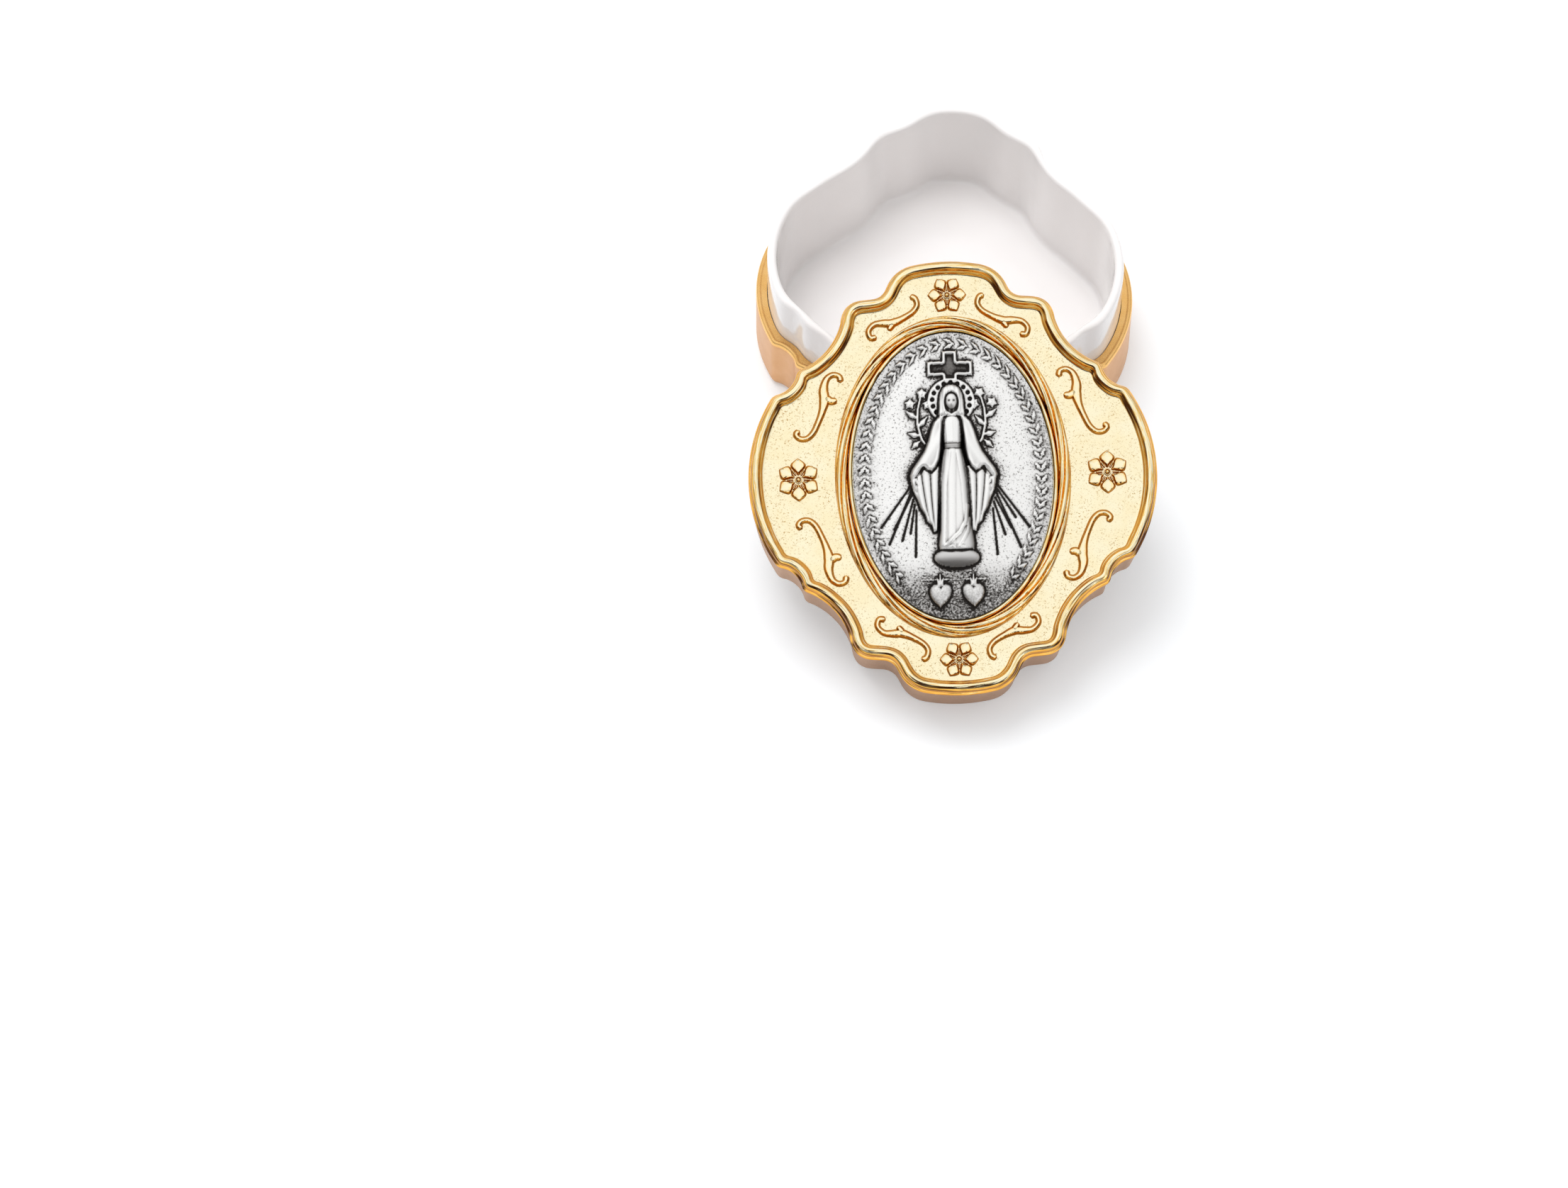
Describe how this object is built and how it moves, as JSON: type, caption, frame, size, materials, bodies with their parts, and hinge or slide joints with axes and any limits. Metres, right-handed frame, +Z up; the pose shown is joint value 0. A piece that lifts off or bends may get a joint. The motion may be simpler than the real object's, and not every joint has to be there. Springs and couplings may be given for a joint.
{
  "type": "keepsake box",
  "caption": "Scalloped metal keepsake box with a white glazed dish inside and a lift-off moulded lid that carries an oval medallion.",
  "frame": {"origin": "centre of the box's flat underside, on the surface that it stands on", "axes": "+Z up; +Y along the box's long way, from the leaning lid towards the box's far end; +X across it to the right as the picture sees it"},
  "size_m": [0.0664, 0.1097, 0.0364],
  "materials": {
    "satin_rose_gold": "satin rose-gold plating on a cast box with a warmer gold ledge",
    "white_glaze": "glossy white glaze",
    "antique_gold": "antiqued yellow-gold plating, brushed on the mouldings, dark in the recesses",
    "antique_silver": "antiqued silver plating, dark in the recesses"
  },
  "bodies": {
    "box": {"box_shell": "satin_rose_gold", "dish_liner": "white_glaze"},
    "lid": {"lid_shell": "antique_gold", "medallion": "antique_silver"}
  },
  "joints": [
    {"name": "lid_lift", "type": "slide", "parent": "box", "child": "lid", "axis": [0, 0, 1], "range_m": [0, 0.06]}
  ]
}
